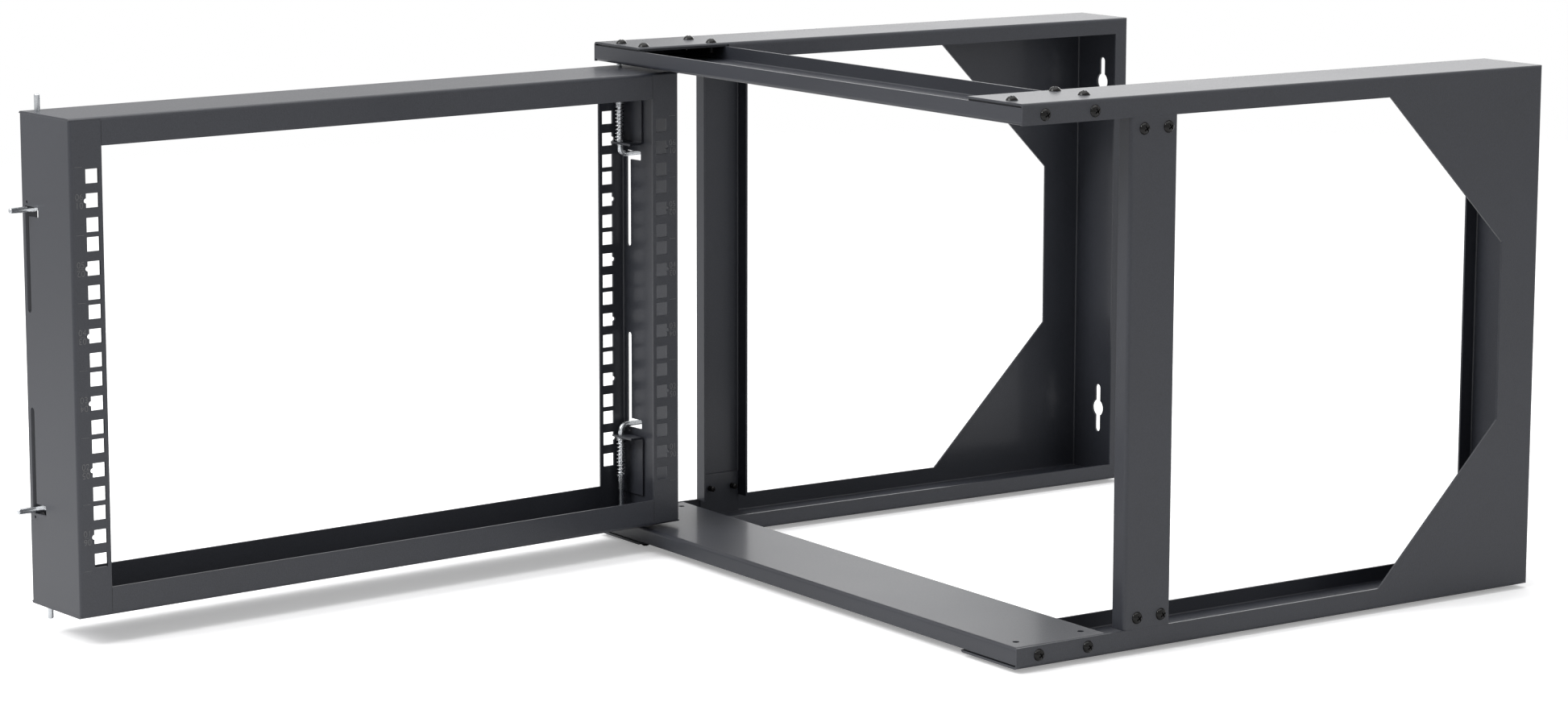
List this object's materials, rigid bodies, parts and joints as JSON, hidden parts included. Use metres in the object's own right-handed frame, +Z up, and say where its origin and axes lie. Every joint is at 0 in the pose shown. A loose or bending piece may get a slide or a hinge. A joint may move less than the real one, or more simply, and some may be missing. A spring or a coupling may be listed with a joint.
{
  "type": "wall mount open frame rack",
  "caption": "Open wall-mount rack frame for 19-inch network equipment, with a swing-out gate that hangs and latches on sprung pins.",
  "frame": {"origin": "on the wall plane, midway between the four wall keyholes", "axes": "+Z up, +Y into the wall, +X to the right of someone who faces the wall; the gate is stored swung open at the left front"},
  "size_m": [0.5158, 0.9372, 0.3698],
  "materials": {
    "frame_coat": "fine textured powder coat, dark grey",
    "gate_coat": "fine textured powder coat, dark grey",
    "black_screw": "gloss black",
    "zinc_steel": "bright zinc plate",
    "spring_steel": "bright zinc plate on wire"
  },
  "bodies": {
    "frame": {"side_frame_left": "frame_coat", "side_frame_right": "frame_coat", "crossbar_top": "frame_coat", "crossbar_bottom": "frame_coat", "post_left": "frame_coat", "post_right": "frame_coat", "screws_top_left": "black_screw", "screws_top_right": "black_screw", "screws_bottom_left": "black_screw", "screws_bottom_right": "black_screw", "screws_side_left": "black_screw", "screws_side_right": "black_screw", "screws_post_left": "black_screw", "screws_post_right": "black_screw"},
    "gate": {"gate_upright_hinge": "gate_coat", "gate_upright_free": "gate_coat", "gate_rail_top": "gate_coat", "gate_rail_bottom": "gate_coat", "guide_bracket_hinge_top": "gate_coat", "guide_bracket_hinge_bottom": "gate_coat", "guide_bracket_free_top": "gate_coat", "guide_bracket_free_bottom": "gate_coat", "pin_spring_hinge_top": "spring_steel", "pin_spring_hinge_bottom": "spring_steel", "pin_spring_free_top": "spring_steel", "pin_spring_free_bottom": "spring_steel"},
    "pin_hinge_top": {"latch_pin_hinge_top": "zinc_steel", "pin_washer_hinge_top": "zinc_steel"},
    "pin_hinge_bottom": {"latch_pin_hinge_bottom": "zinc_steel", "pin_washer_hinge_bottom": "zinc_steel"},
    "pin_free_top": {"latch_pin_free_top": "zinc_steel", "pin_washer_free_top": "zinc_steel"},
    "pin_free_bottom": {"latch_pin_free_bottom": "zinc_steel", "pin_washer_free_bottom": "zinc_steel"}
  },
  "joints": [
    {"name": "gate_swing", "type": "hinge", "parent": "frame", "child": "gate", "pos_m": [-0.239, -0.4385, 0], "axis": [0, 0, 1], "range_deg": [-95, 85]},
    {"name": "pull_hinge_top", "type": "slide", "parent": "gate", "child": "pin_hinge_top", "axis": [0, 0, -1], "range_m": [0, 0.012], "stiffness_N_per_m": 400, "springref_m": -0.008, "deforming": ["pin_spring_hinge_top"]},
    {"name": "pull_hinge_bottom", "type": "slide", "parent": "gate", "child": "pin_hinge_bottom", "axis": [0, 0, 1], "range_m": [0, 0.012], "stiffness_N_per_m": 400, "springref_m": -0.008, "deforming": ["pin_spring_hinge_bottom"]},
    {"name": "pull_free_top", "type": "slide", "parent": "gate", "child": "pin_free_top", "axis": [0, 0, -1], "range_m": [0, 0.012], "stiffness_N_per_m": 400, "springref_m": -0.008, "deforming": ["pin_spring_free_top"]},
    {"name": "pull_free_bottom", "type": "slide", "parent": "gate", "child": "pin_free_bottom", "axis": [0, 0, 1], "range_m": [0, 0.012], "stiffness_N_per_m": 400, "springref_m": -0.008, "deforming": ["pin_spring_free_bottom"]}
  ]
}
